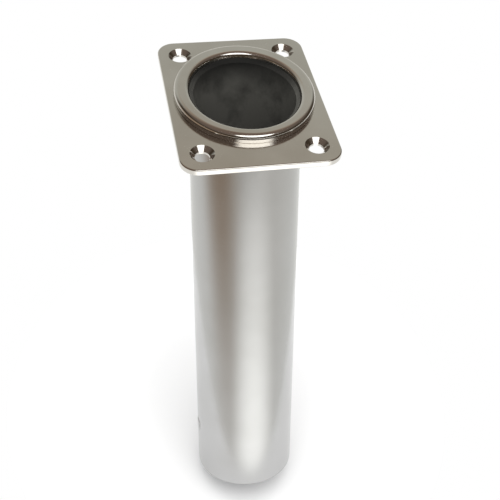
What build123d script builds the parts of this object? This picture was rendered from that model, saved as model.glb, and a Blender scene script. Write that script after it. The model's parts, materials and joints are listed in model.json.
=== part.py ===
"""Angled flush-mount rod holder: a rectangular screw-down flange with a raised oval rim,
a tilted stainless tube, a black liner and the cross pin that a rod butt rests on.

Frame, in millimetres: the origin is the centre of the flange's underside, where the tube's
axis crosses it. +Z is up, out of the deck. +X is across the flange. The tube's lower end
leans towards -Y.
"""

from build123d import *
import os
from math import cos, radians, tan

os.makedirs("parts", exist_ok=True)

# ---- driving dimensions ----
# flange
flange_width = 69.0
flange_depth = 89.0
flange_thickness = 3.0
flange_corner_radius = 8.0
flange_edge_rounding = 0.6

# screw holes, on a rectangle about the flange's centre
screw_spacing_x = 49.0
screw_spacing_y = 68.5
screw_hole_radius = 3.25
countersink_radius = 5.3
countersink_angle = 90.0

# tube
tube_radius = 25.4
tube_wall = 1.2
tube_tilt = 20.0
tube_below_flange = 203.5
tube_end_rounding = 0.4
bore_clearance = 0.1

# raised rim round the mouth
rim_height = 4.0
rim_width = 6.8
rim_mouth_radius = 24.7
rim_outer_rounding = 2.2
rim_inner_rounding = 1.9
rim_foot_chamfer = 0.25

# liner
liner_clearance = 0.1
liner_inner_radius = 22.9
liner_lip_height = 1.85
liner_flare_radius = 24.2
liner_flare_depth = 1.5
liner_flare_overlap = 0.2
liner_end_chamfer = 0.8

# gimbal pin and its plug welds
pin_radius = 3.2
pin_above_tube_end = 25.0
pin_weld_radius = 3.6
pin_weld_depth = 0.9
pin_weld_proud = 0.15
pin_end_chamfer = 0.4

# weld bead under the flange
bead_leg_on_flange = 4.0
bead_leg_on_tube = 4.0
bead_toe = 0.25
relief_depth = 0.5
relief_margin = 0.3

# ---- places worked out from them ----
flange_top = flange_thickness
rim_top = flange_top + rim_height
tilt_cos = cos(radians(tube_tilt))
lean = tan(radians(tube_tilt))
reach_above = 20.0

# the tube's own frame: local +Z runs up the tube's axis, local +X stays the flange's +X
tube_axis = Plane.XY.rotated((-tube_tilt, 0, 0))
tube_end_plane = tube_axis.offset(-tube_below_flange)
tube_reach = tube_below_flange + reach_above
up_the_tube = tube_axis.z_dir

pin_place = tube_end_plane.offset(pin_above_tube_end).origin
pin_plane = Plane(origin=pin_place, x_dir=(0, 1, 0), z_dir=(1, 0, 0))
liner_end_plane = tube_end_plane.offset(pin_above_tube_end + pin_radius)
liner_reach = tube_reach - pin_above_tube_end

liner_top = flange_top + liner_lip_height
liner_flare_foot = liner_top - liner_flare_depth
rim_centre_y = rim_top * lean
rim_radius_x = rim_mouth_radius + rim_width
rim_radius_y = rim_mouth_radius / tilt_cos + rim_width


def level_section(height, radius, grow=0.0):
    """The oval that a level plane cuts from a round bar on the tube's axis, made larger all round."""
    with BuildSketch(Plane.XY.offset(height)) as section:
        with Locations((0, height * lean)):
            Ellipse(radius + grow, radius / tilt_cos + grow)
    return section.sketch


# ---- flange: a flat rounded rectangle, countersunk for four screws, relieved under the weld ----
with BuildPart() as flange_plate:
    with BuildSketch(Plane.XY):
        RectangleRounded(flange_width, flange_depth, flange_corner_radius)
    extrude(amount=flange_thickness)
    outer_rims = flange_plate.faces().filter_by(Axis.Z).edges()
    fillet(outer_rims, radius=flange_edge_rounding)
    with Locations(Plane.XY.offset(flange_top)):
        with GridLocations(screw_spacing_x, screw_spacing_y, 2, 2):
            CounterSinkHole(screw_hole_radius, countersink_radius, counter_sink_angle=countersink_angle)
    with BuildSketch(tube_end_plane):
        Circle(tube_radius + bore_clearance)
    extrude(amount=tube_reach, mode=Mode.SUBTRACT)
    weld_relief = level_section(0, tube_radius, grow=bead_leg_on_flange + relief_margin)
    extrude(weld_relief, amount=relief_depth, mode=Mode.SUBTRACT)

flange_plate.part.label = "flange_plate"
export_step(flange_plate.part, "parts/flange_plate.step")


# ---- rim: an upright oval ring on the flange, bored along the tube and covering the tube's end ----
with BuildPart() as rim_collar:
    with BuildSketch(Plane.XY.offset(flange_top)):
        with Locations((0, rim_centre_y)):
            Ellipse(rim_radius_x, rim_radius_y)
    extrude(amount=rim_height)
    fillet(rim_collar.faces().sort_by(Axis.Z)[-1].edges(), radius=rim_outer_rounding)
    chamfer(rim_collar.faces().sort_by(Axis.Z)[0].edges(), length=rim_foot_chamfer)
    with BuildSketch(tube_end_plane):
        Circle(rim_mouth_radius)
    extrude(amount=tube_reach, mode=Mode.SUBTRACT)
    mouth_edge = rim_collar.faces().sort_by(Axis.Z)[-1].edges().sort_by(SortBy.LENGTH)[0]
    fillet(mouth_edge, radius=rim_inner_rounding)

rim_collar.part.label = "rim_collar"
export_step(rim_collar.part, "parts/rim_collar.step")


# ---- tube: square cut at its lower end, mitred level with the flange at the top ----
with BuildPart() as holder_tube:
    with BuildSketch(tube_end_plane):
        Circle(tube_radius)
        Circle(tube_radius - tube_wall, mode=Mode.SUBTRACT)
    extrude(amount=tube_reach)
    split(bisect_by=Plane.XY.offset(flange_top), keep=Keep.BOTTOM)
    end_edges = holder_tube.faces().sort_by(Axis.Z)[0].edges()
    fillet(end_edges, radius=tube_end_rounding)
    with BuildSketch(pin_plane):
        Circle(pin_weld_radius)
    extrude(amount=tube_radius * 2, both=True, mode=Mode.SUBTRACT)

holder_tube.part.label = "holder_tube"
export_step(holder_tube.part, "parts/holder_tube.step")


# ---- liner: a thin sleeve whose flared lip sits on the tube's end, inside the rim ----
with BuildPart() as liner_sleeve:
    with BuildSketch(liner_end_plane):
        Circle(tube_radius - tube_wall - liner_clearance)
    extrude(amount=liner_reach)
    split(bisect_by=Plane.XY.offset(flange_top), keep=Keep.BOTTOM)
    lip_foot = level_section(flange_top, rim_mouth_radius - liner_clearance)
    extrude(lip_foot, amount=liner_lip_height / tilt_cos, dir=up_the_tube)
    with BuildSketch(liner_end_plane):
        Circle(liner_inner_radius)
    extrude(amount=liner_reach, mode=Mode.SUBTRACT)
    flare_mouth = level_section(liner_top, liner_flare_radius)
    flare_foot = level_section(liner_flare_foot, liner_inner_radius - liner_flare_overlap)
    loft([flare_foot, flare_mouth], mode=Mode.SUBTRACT)
    butt_edge = liner_sleeve.faces().sort_by(Axis.Z)[0].edges().sort_by(SortBy.LENGTH)[-1]
    chamfer(butt_edge, length=liner_end_chamfer)

liner_sleeve.part.label = "liner_sleeve"
export_step(liner_sleeve.part, "parts/liner_sleeve.step")


# ---- weld bead: a fillet in the corner between the tube and the flange's relieved underside ----
with BuildPart() as flange_weld:
    bead_on_flange = level_section(relief_depth, tube_radius, grow=bead_leg_on_flange)
    bead_on_tube = level_section(-bead_leg_on_tube, tube_radius, grow=bead_toe)
    loft([bead_on_tube, bead_on_flange])
    with BuildSketch(tube_end_plane):
        Circle(tube_radius)
    extrude(amount=tube_reach, mode=Mode.SUBTRACT)

flange_weld.part.label = "flange_weld"
export_step(flange_weld.part, "parts/flange_weld.step")


# ---- gimbal pin: a round bar across the tube, just above its lower end ----
with BuildPart() as gimbal_pin:
    with BuildSketch(pin_plane):
        Circle(pin_radius)
    extrude(amount=tube_radius - pin_weld_depth, both=True)
    chamfer(gimbal_pin.edges().filter_by(GeomType.CIRCLE), length=pin_end_chamfer)

gimbal_pin.part.label = "gimbal_pin"
export_step(gimbal_pin.part, "parts/gimbal_pin.step")


# ---- plug welds: they fill the tube's two side holes over the pin's ends ----
with BuildPart() as gimbal_pin_welds:
    with BuildSketch(tube_end_plane):
        Circle(tube_radius + pin_weld_proud)
    extrude(amount=pin_above_tube_end * 2)
    with BuildSketch(pin_plane):
        Circle(pin_weld_radius)
    extrude(amount=tube_radius * 2, both=True, mode=Mode.INTERSECT)
    with Locations(pin_plane):
        Cylinder(
            pin_weld_radius * 2,
            (tube_radius - pin_weld_depth) * 2,
            mode=Mode.SUBTRACT,
        )

gimbal_pin_welds.part.label = "gimbal_pin_welds"
export_step(gimbal_pin_welds.part, "parts/gimbal_pin_welds.step")
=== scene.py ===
"""Looks for the flush-mount rod holder: polished flange and rim, satin tube, black liner, rippled weld.

The frame is the CAD's: origin at the centre of the flange's underside, +Z out of the deck,
metres. The tube's lower end leans towards -Y.
"""

import json
import math

import bpy
from mathutils import Matrix, Vector


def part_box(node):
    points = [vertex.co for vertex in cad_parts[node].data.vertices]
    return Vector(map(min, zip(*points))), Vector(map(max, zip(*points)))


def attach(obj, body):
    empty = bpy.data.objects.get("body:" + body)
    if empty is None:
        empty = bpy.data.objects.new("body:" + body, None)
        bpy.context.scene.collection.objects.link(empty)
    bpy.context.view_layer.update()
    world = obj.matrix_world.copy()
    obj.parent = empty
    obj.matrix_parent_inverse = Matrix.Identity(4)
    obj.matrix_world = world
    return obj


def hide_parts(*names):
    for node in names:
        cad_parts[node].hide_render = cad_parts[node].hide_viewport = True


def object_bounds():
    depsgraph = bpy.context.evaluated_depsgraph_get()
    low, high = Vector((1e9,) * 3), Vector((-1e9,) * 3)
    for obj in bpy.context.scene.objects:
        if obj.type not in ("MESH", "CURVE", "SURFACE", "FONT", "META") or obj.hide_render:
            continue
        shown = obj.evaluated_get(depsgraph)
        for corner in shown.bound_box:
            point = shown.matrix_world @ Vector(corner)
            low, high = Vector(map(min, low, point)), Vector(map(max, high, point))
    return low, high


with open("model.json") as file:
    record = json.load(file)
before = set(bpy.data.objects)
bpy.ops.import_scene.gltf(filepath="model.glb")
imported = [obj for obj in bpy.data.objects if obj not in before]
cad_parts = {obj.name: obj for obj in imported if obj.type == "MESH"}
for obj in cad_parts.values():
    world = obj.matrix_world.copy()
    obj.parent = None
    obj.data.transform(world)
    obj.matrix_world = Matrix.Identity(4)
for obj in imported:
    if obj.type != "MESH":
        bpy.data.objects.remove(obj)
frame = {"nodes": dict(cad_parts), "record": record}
cad_low, cad_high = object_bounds()

BODY = "root"

# ---- the object's own directions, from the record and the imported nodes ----
BORE = next(m for m in frame["record"]["mounts"] if m["name"] == "rod_bore")
TUBE_UP = Vector(BORE["axis"]).normalized()
TILT = math.atan2(TUBE_UP.y, TUBE_UP.z)
TUBE_LOW, TUBE_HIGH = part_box("holder_tube")
TUBE_RADIUS = (TUBE_HIGH.x - TUBE_LOW.x) / 2
WELD_LOW, WELD_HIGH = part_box("flange_weld")

# ---- camera ----
CAMERA_AZIMUTH = -15.63
CAMERA_ELEVATION = 47.9
CAMERA_ROLL = 6.31
CAMERA_DISTANCE = 0.4432
CAMERA_TARGET = Vector((0.0098, 0.0, -0.0993))
CAMERA_LENS = 59.41
CAMERA_SENSOR = 36.0

# ---- studio ----
FLOOR_RADIUS = 0.13
FLOOR_SIDES = 96
FLOOR_GAP = 0.0005
# The floor is painted darker in the middle, under the object, and paler towards its edge: a painted
# shade around the object's base.
FLOOR_PAINTED_SHADE_GREY = 0.90
FLOOR_EDGE_GREY = 0.97
FLOOR_PAINTED_SHADE_FADE = (0.35 * FLOOR_RADIUS, 0.95 * FLOOR_RADIUS)
LAMP_PLACE = (0.0, -0.2, 1.6)
LAMP_AIM = (0, 0, -0.1)
LAMP_SIZE = (1.6, 1.6)
LAMP_POWER = 15

# The room that the metal mirrors. Azimuth 0 is the front (-Y) and 90 the right (+X), in degrees.
# Each wall is a run of colours by elevation, and the walls blend between the two azimuths.
FAR_GROUND = (0.85, 0.83, 0.78)
NEAR_GROUND = (1.0, 1.0, 0.97)
FRONT_WALL = [
    (-35, NEAR_GROUND),
    (-4, FAR_GROUND),
    (2, (0.06, 0.045, 0.03)),
    (25, (0.06, 0.045, 0.03)),
    (35, (0.15, 0.12, 0.10)),
    (60, (0.20, 0.15, 0.12)),
]
BACK_WALL = [
    (-35, NEAR_GROUND),
    (-4, FAR_GROUND),
    (5, (0.60, 0.60, 0.55)),
    (35, (0.50, 0.50, 0.45)),
    (50, (0.40, 0.33, 0.26)),
    (65, (0.20, 0.15, 0.12)),
]
FRONT_TO_BACK = (120, 150)
# Oval panels: centre azimuth and elevation, half width and half height in degrees, the share of
# the radius over which the edge fades, colour.
BROWN_SCREEN = (-75, -8, 70, 25, 0.7, (0.40, 0.30, 0.22))
LOW_WINDOW = (8, -35, 50, 40, 0.8, (2.0, 2.0, 1.95))
CEILING_LAMP = (10, 50, 40, 18, 0.2, (2.6, 2.6, 2.55))
PANELS = [BROWN_SCREEN, LOW_WINDOW, CEILING_LAMP]


def add_camera():
    azimuth = math.radians(CAMERA_AZIMUTH)
    elevation = math.radians(CAMERA_ELEVATION)
    roll = math.radians(CAMERA_ROLL)
    back = Vector((
        math.sin(azimuth) * math.cos(elevation),
        -math.cos(azimuth) * math.cos(elevation),
        math.sin(elevation),
    ))
    level_right = Vector((math.cos(azimuth), math.sin(azimuth), 0))
    level_up = back.cross(level_right)
    right = level_right * math.cos(roll) + level_up * math.sin(roll)
    up = level_up * math.cos(roll) - level_right * math.sin(roll)
    turn = Matrix((right, up, back)).transposed().to_4x4()
    data = bpy.data.cameras.new("camera")
    data.lens = CAMERA_LENS
    data.sensor_width = CAMERA_SENSOR
    camera = bpy.data.objects.new("camera", data)
    camera.matrix_world = Matrix.Translation(CAMERA_TARGET + back * CAMERA_DISTANCE) @ turn
    bpy.context.scene.collection.objects.link(camera)
    bpy.context.scene.camera = camera


# ---- node helpers ----
class Nodes:
    """A short way to write a node tree."""

    def __init__(self, tree):
        self.tree = tree
        tree.nodes.clear()

    def link(self, source, target):
        self.tree.links.new(source, target)

    def stretched(self, scale, turn=(0, 0, 0)):
        """The place on the object, turned and then scaled along each axis."""
        turned = self.tree.nodes.new("ShaderNodeMapping")
        turned.inputs["Rotation"].default_value = turn
        self.link(self.place, turned.inputs["Vector"])
        scaled = self.tree.nodes.new("ShaderNodeMapping")
        scaled.inputs["Scale"].default_value = scale
        self.link(turned.outputs["Vector"], scaled.inputs["Vector"])
        return scaled.outputs["Vector"]

    def noise(self, scale, detail=3, roughness=0.5, vector=None):
        node = self.tree.nodes.new("ShaderNodeTexNoise")
        node.inputs["Scale"].default_value = scale
        node.inputs["Detail"].default_value = detail
        node.inputs["Roughness"].default_value = roughness
        self.link(self.place if vector is None else vector, node.inputs["Vector"])
        return node.outputs["Fac"]

    def spread(self, value, low, high, from_low=0.3, from_high=0.7):
        """Maps a noise value to a range."""
        node = self.tree.nodes.new("ShaderNodeMapRange")
        node.inputs["From Min"].default_value = from_low
        node.inputs["From Max"].default_value = from_high
        node.inputs["To Min"].default_value = low
        node.inputs["To Max"].default_value = high
        self.link(value, node.inputs["Value"])
        return node.outputs["Result"]

    def math(self, operation, *values):
        node = self.tree.nodes.new("ShaderNodeMath")
        node.operation = operation
        for value, socket in zip(values, node.inputs):
            if isinstance(value, (int, float)):
                socket.default_value = value
            else:
                self.link(value, socket)
        return node.outputs[0]

    def step(self, value, low, high):
        """0 below low, 1 above high, smooth between."""
        node = self.tree.nodes.new("ShaderNodeMapRange")
        node.interpolation_type = "SMOOTHSTEP"
        node.inputs["From Min"].default_value = low
        node.inputs["From Max"].default_value = high
        self.link(value, node.inputs["Value"])
        return node.outputs["Result"]

    def mix(self, factor, first, second):
        node = self.tree.nodes.new("ShaderNodeMixRGB")
        self.link(factor, node.inputs["Fac"])
        for value, socket in ((first, node.inputs["Color1"]), (second, node.inputs["Color2"])):
            if isinstance(value, tuple):
                socket.default_value = (*value, 1)
            else:
                self.link(value, socket)
        return node.outputs["Color"]

    def ramp(self, value, stops):
        node = self.tree.nodes.new("ShaderNodeValToRGB")
        elements = node.color_ramp.elements
        while len(elements) < len(stops):
            elements.new(0.5)
        for element, (position, colour) in zip(elements, stops):
            element.position = position
            element.color = (*colour, 1)
        self.link(value, node.inputs["Fac"])
        return node.outputs["Color"]

    def bump(self, height, strength, distance, under=None):
        node = self.tree.nodes.new("ShaderNodeBump")
        node.inputs["Strength"].default_value = strength
        node.inputs["Distance"].default_value = distance
        self.link(height, node.inputs["Height"])
        if under is not None:
            self.link(under, node.inputs["Normal"])
        return node.outputs["Normal"]


class Surface(Nodes):
    """A material with one Principled shader."""

    def __init__(self, name):
        self.material = bpy.data.materials.new(name)
        self.material.use_nodes = True
        super().__init__(self.material.node_tree)
        self.shader = self.tree.nodes.new("ShaderNodeBsdfPrincipled")
        output = self.tree.nodes.new("ShaderNodeOutputMaterial")
        self.link(self.shader.outputs["BSDF"], output.inputs["Surface"])
        self.place = self.tree.nodes.new("ShaderNodeTexCoord").outputs["Object"]

    def set(self, **values):
        for name, value in values.items():
            self.shader.inputs[name.replace("_", " ")].default_value = value


# ---- materials ----
POLISHED_TONES = [(0.3, (0.60, 0.575, 0.54)), (0.7, (0.68, 0.66, 0.63))]
SATIN_TONES = [(0.3, (0.455, 0.455, 0.45)), (0.7, (0.49, 0.49, 0.49))]
WELD_TINTS = [
    (0.25, (0.36, 0.36, 0.40)),
    (0.45, (0.47, 0.45, 0.42)),
    (0.62, (0.55, 0.50, 0.41)),
    (0.8, (0.58, 0.56, 0.53)),
]
# Liner colours: painted shade makes the lip darker where it catches the most light, and painted light
# makes the bore lighter deeper down where it gets the least.
PAINTED_BORE_LIGHT_FULL_BELOW = -0.002
PAINTED_BORE_LIGHT_NONE_ABOVE = 0.012
LIP_BLACK_PAINTED_SHADE = (0.010, 0.010, 0.009)
BORE_GREY_PAINTED_LIGHT = (0.085, 0.083, 0.074)


def polished_steel():
    """Buffed stainless: warm grey, near mirror, with smudges and hairline scratches."""
    m = Surface("polished_steel")
    m.set(Metallic=1.0)
    tone = m.noise(45, detail=4)
    m.link(m.ramp(tone, POLISHED_TONES), m.shader.inputs["Base Color"])
    smudge = m.spread(m.noise(70, detail=5, roughness=0.6), 0.08, 0.14)
    hairline = m.noise(1.0, detail=2, vector=m.stretched((60, 2600, 2600), (0, 0, 0.5)))
    crossing = m.noise(1.0, detail=2, vector=m.stretched((2200, 90, 2200), (0, 0, -0.35)))
    lines = m.math("ADD", hairline, crossing)
    rough = m.math("ADD", smudge, m.spread(lines, 0.0, 0.05, 0.8, 1.3))
    m.link(rough, m.shader.inputs["Roughness"])
    waviness = m.bump(m.noise(55, detail=2), 0.25, 0.0002)
    m.link(m.bump(lines, 0.10, 0.00001, waviness), m.shader.inputs["Normal"])
    return m.material


def satin_steel():
    """Satin tube: grinding lines run round it, with a faint mottle and a few handling marks."""
    m = Surface("satin_steel")
    m.set(Metallic=1.0)
    tone = m.noise(28, detail=4)
    m.link(m.ramp(tone, SATIN_TONES), m.shader.inputs["Base Color"])
    rings = m.noise(1.0, detail=3, vector=m.stretched((40, 40, 5200), (TILT, 0, 0)))
    drawn = m.noise(1.0, detail=3, vector=m.stretched((900, 900, 18), (TILT, 0, 0)))
    patches = m.spread(m.noise(60, detail=5, roughness=0.6), 0.17, 0.22)
    rough = m.math("ADD", patches, m.spread(rings, -0.02, 0.03))
    m.link(rough, m.shader.inputs["Roughness"])
    m.set(Anisotropic=0.4, Anisotropic_Rotation=0.25)
    around = m.tree.nodes.new("ShaderNodeTangent")
    around.direction_type = "RADIAL"
    around.axis = "Z"
    m.link(around.outputs["Tangent"], m.shader.inputs["Tangent"])
    streaks = m.bump(drawn, 0.08, 0.000012)
    m.link(m.bump(rings, 0.02, 0.00001, streaks), m.shader.inputs["Normal"])
    return m.material


def weld_steel():
    """Cleaned weld metal: grey with straw and faint blue heat tint."""
    m = Surface("weld_steel")
    m.set(Metallic=1.0)
    tint = m.noise(140, detail=4, roughness=0.6)
    m.link(m.ramp(tint, WELD_TINTS), m.shader.inputs["Base Color"])
    m.link(m.spread(m.noise(420, detail=4), 0.28, 0.5), m.shader.inputs["Roughness"])
    m.link(m.bump(m.noise(1500, detail=4, roughness=0.6), 0.35, 0.00006), m.shader.inputs["Normal"])
    return m.material


def liner_black():
    """Black vinyl: a fine moulded grain and a cloudy mottle. The colour is painted lighter below the
    lip, as painted light in the shaded bore, and darker at the lip, as painted shade.
    """
    m = Surface("liner_black")
    cloud = m.noise(75, detail=5, roughness=0.55)
    along = m.tree.nodes.new("ShaderNodeSeparateXYZ")
    m.link(m.stretched((1, 1, 1), (TILT, 0, 0)), along.inputs["Vector"])
    # Painted light: the vinyl is painted lighter below the lip, where the bore is in shade, with a
    # cloudy mottle on top.
    painted_bore_light_depth = m.spread(along.outputs["Z"], 1.0, 0.0, PAINTED_BORE_LIGHT_FULL_BELOW, PAINTED_BORE_LIGHT_NONE_ABOVE)
    mottle_and_painted_bore_light = m.math("MULTIPLY", m.spread(cloud, 0.5, 1.6), painted_bore_light_depth)
    m.link(m.ramp(mottle_and_painted_bore_light, [(0.0, LIP_BLACK_PAINTED_SHADE), (1.0, BORE_GREY_PAINTED_LIGHT)]), m.shader.inputs["Base Color"])
    m.link(m.spread(m.noise(90, detail=4), 0.5, 0.65), m.shader.inputs["Roughness"])
    m.set(Specular_IOR_Level=0.2)
    rub = m.noise(1.0, detail=4, vector=m.stretched((260, 260, 14), (TILT, 0, 0)))
    grain = m.bump(m.noise(2600, detail=3), 0.25, 0.00004)
    m.link(m.bump(rub, 0.1, 0.00003, grain), m.shader.inputs["Normal"])
    return m.material


def paint(node, material):
    """Gives a CAD node a better material."""
    for slot in frame["nodes"][node].material_slots:
        slot.material = material


# ---- weld bead ----
BEAD_RIPPLES = 62
BEAD_STEPS_PER_RIPPLE = 12
BEAD_PROFILE_POINTS = 9
BEAD_RIPPLE_HEIGHT = 0.00022
BEAD_LAG = 0.55
BEAD_CROWN = 0.0008
BEAD_MARGIN = 0.0003
BEAD_WANDER = 0.05


def tube_skin(angle, height):
    """The point of the tube's outside at this angle and level."""
    y = TUBE_RADIUS * math.sin(angle) / math.cos(TILT) + height * math.tan(TILT)
    return Vector((TUBE_RADIUS * math.cos(angle), y, height))


def bead_point(angle, share):
    """A point of the bead's face: share 0 is its toe on the tube, share 1 its toe on the flange."""
    outward = Vector((math.cos(angle), math.sin(angle) * math.cos(TILT), 0)).normalized()
    leg_on_flange = WELD_HIGH.x - TUBE_RADIUS - BEAD_MARGIN
    leg_on_tube = WELD_HIGH.z - WELD_LOW.z - BEAD_MARGIN
    phase = angle * BEAD_RIPPLES / (2 * math.pi)
    wander = BEAD_WANDER * (math.sin(angle * 23) + math.sin(angle * 9 + 1))
    on_tube = tube_skin(angle, WELD_HIGH.z - leg_on_tube * (0.90 - wander))
    on_flange = tube_skin(angle, WELD_HIGH.z) + outward * leg_on_flange * (0.92 + wander)
    middle = math.sin(math.pi * share)
    front = phase + BEAD_LAG * middle
    step = front - math.floor(front)
    ripple = (1 - step) ** 1.5 - 0.4
    face = (outward - Vector((0, 0, 1))).normalized()
    lift = middle ** 0.6 * (BEAD_CROWN * middle + BEAD_RIPPLE_HEIGHT * ripple)
    return on_tube.lerp(on_flange, share) + face * lift


def add_weld_bead(material):
    """A closed ring in the corner between tube and flange, with overlapping ripples on its face."""
    rings = BEAD_RIPPLES * BEAD_STEPS_PER_RIPPLE
    points = []
    faces = []
    per_ring = BEAD_PROFILE_POINTS + 1
    for i in range(rings):
        angle = 2 * math.pi * i / rings
        corner = tube_skin(angle, WELD_HIGH.z)
        shares = [k / (BEAD_PROFILE_POINTS - 1) for k in range(BEAD_PROFILE_POINTS)]
        points += [bead_point(angle, share) for share in shares] + [corner]
        for k in range(per_ring):
            this, after = i * per_ring, (i + 1) % rings * per_ring
            nxt = (k + 1) % per_ring
            faces.append((this + k, after + k, after + nxt, this + nxt))
    mesh = bpy.data.meshes.new("flange_weld_bead")
    mesh.from_pydata([tuple(p) for p in points], [], faces)
    mesh.polygons.foreach_set("use_smooth", [True] * len(faces))
    mesh.update()
    mesh.materials.append(material)
    bead = bpy.data.objects.new("flange_weld_bead", mesh)
    bpy.context.scene.collection.objects.link(bead)
    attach(bead, BODY)
    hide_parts("flange_weld")


# ---- studio ----
def add_floor():
    height = cad_low.z - FLOOR_GAP
    centre = (cad_low + cad_high) / 2
    corners = []
    for i in range(FLOOR_SIDES):
        angle = 2 * math.pi * i / FLOOR_SIDES
        outward = Vector((math.cos(angle), math.sin(angle), 0))
        corner = centre + outward * FLOOR_RADIUS
        corners.append((corner.x, corner.y, height))
    mesh = bpy.data.meshes.new("floor")
    mesh.from_pydata(corners, [], [tuple(range(FLOOR_SIDES))])
    m = Surface("floor_paper")
    m.set(Roughness=0.9)
    away = m.tree.nodes.new("ShaderNodeVectorMath")
    away.operation = "DISTANCE"
    m.link(m.place, away.inputs[0])
    away.inputs[1].default_value = (centre.x, centre.y, height)
    fibres = m.spread(m.noise(900, detail=3), -0.02, 0.02)
    # Painted shade: the floor's grey darkens towards the middle under the object, with a faint fibre
    # noise on top.
    painted_shade_and_fibres = m.math("ADD", m.spread(away.outputs["Value"], 0.0, 1.0, *FLOOR_PAINTED_SHADE_FADE), fibres)
    greys = [(0.0, (FLOOR_PAINTED_SHADE_GREY,) * 3), (1.0, (FLOOR_EDGE_GREY,) * 3)]
    m.link(m.ramp(painted_shade_and_fibres, greys), m.shader.inputs["Base Color"])
    mesh.materials.append(m.material)
    floor = bpy.data.objects.new("floor", mesh)
    bpy.context.scene.collection.objects.link(floor)


def add_softbox(name, place, aim, size, power):
    data = bpy.data.lights.new(name, "AREA")
    data.shape = "RECTANGLE"
    data.size, data.size_y = size
    data.energy = power
    light = bpy.data.objects.new(name, data)
    light.location = place
    light.rotation_euler = (Vector(aim) - Vector(place)).to_track_quat("-Z", "Y").to_euler()
    light.visible_glossy = False
    bpy.context.scene.collection.objects.link(light)


def oval(nodes, azimuth, elevation, centre, half_size, fade):
    """1 inside an oval of the room, falling to 0 at its edge."""
    across, upward = (
        nodes.math("DIVIDE", nodes.math("SUBTRACT", value, middle), half)
        for value, middle, half in zip((azimuth, elevation), centre, half_size)
    )
    across_squared = nodes.math("MULTIPLY", across, across)
    upward_squared = nodes.math("MULTIPLY", upward, upward)
    away = nodes.math("SQRT", nodes.math("ADD", across_squared, upward_squared))
    outside = nodes.step(away, 1 - fade, 1)
    return nodes.math("SUBTRACT", 1.0, outside)


def wall(nodes, elevation, stops):
    """A wall's colour at an elevation in degrees."""
    height = nodes.spread(elevation, 0.0, 1.0, -90, 90)
    return nodes.ramp(height, [((stop + 90) / 180, colour) for stop, colour in stops])


def add_room():
    """White light for the matt surfaces; two walls and three oval panels for the metal to mirror."""
    world = bpy.data.worlds.new("room")
    world.use_nodes = True
    n = Nodes(world.node_tree)
    direction = n.tree.nodes.new("ShaderNodeSeparateXYZ")
    n.link(n.tree.nodes.new("ShaderNodeTexCoord").outputs["Generated"], direction.inputs["Vector"])
    toward_back = n.math("MULTIPLY", direction.outputs["Y"], -1.0)
    azimuth = n.math("MULTIPLY", n.math("ARCTAN2", direction.outputs["X"], toward_back), 180 / math.pi)
    elevation = n.math("MULTIPLY", n.math("ARCSINE", direction.outputs["Z"]), 180 / math.pi)
    sideways = n.math("ABSOLUTE", azimuth)
    front = wall(n, elevation, FRONT_WALL)
    back = wall(n, elevation, BACK_WALL)
    room = n.mix(n.step(sideways, *FRONT_TO_BACK), front, back)
    for middle, height, half_width, half_height, fade, colour in PANELS:
        lit = oval(n, azimuth, elevation, (middle, height), (half_width, half_height), fade)
        room = n.mix(lit, room, colour)
    matt_light = n.tree.nodes.new("ShaderNodeBackground")
    matt_light.inputs["Color"].default_value = (1, 1, 1, 1)
    mirrored = n.tree.nodes.new("ShaderNodeBackground")
    n.link(room, mirrored.inputs["Color"])
    choice = n.tree.nodes.new("ShaderNodeMixShader")
    n.link(n.tree.nodes.new("ShaderNodeLightPath").outputs["Is Glossy Ray"], choice.inputs[0])
    n.link(matt_light.outputs["Background"], choice.inputs[1])
    n.link(mirrored.outputs["Background"], choice.inputs[2])
    output = n.tree.nodes.new("ShaderNodeOutputWorld")
    n.link(choice.outputs["Shader"], output.inputs["Surface"])
    world.cycles.sampling_method = "NONE"
    bpy.context.scene.world = world


add_camera()
polished = polished_steel()
satin = satin_steel()
welded = weld_steel()
black = liner_black()
paint("flange_plate", polished)
paint("rim_collar", polished)
paint("holder_tube", satin)
paint("gimbal_pin", satin)
paint("gimbal_pin_welds", satin)
paint("liner_sleeve", black)
add_weld_bead(welded)
add_floor()
add_room()
add_softbox("overhead", LAMP_PLACE, LAMP_AIM, LAMP_SIZE, LAMP_POWER)
bpy.context.scene.view_settings.view_transform = "Standard"
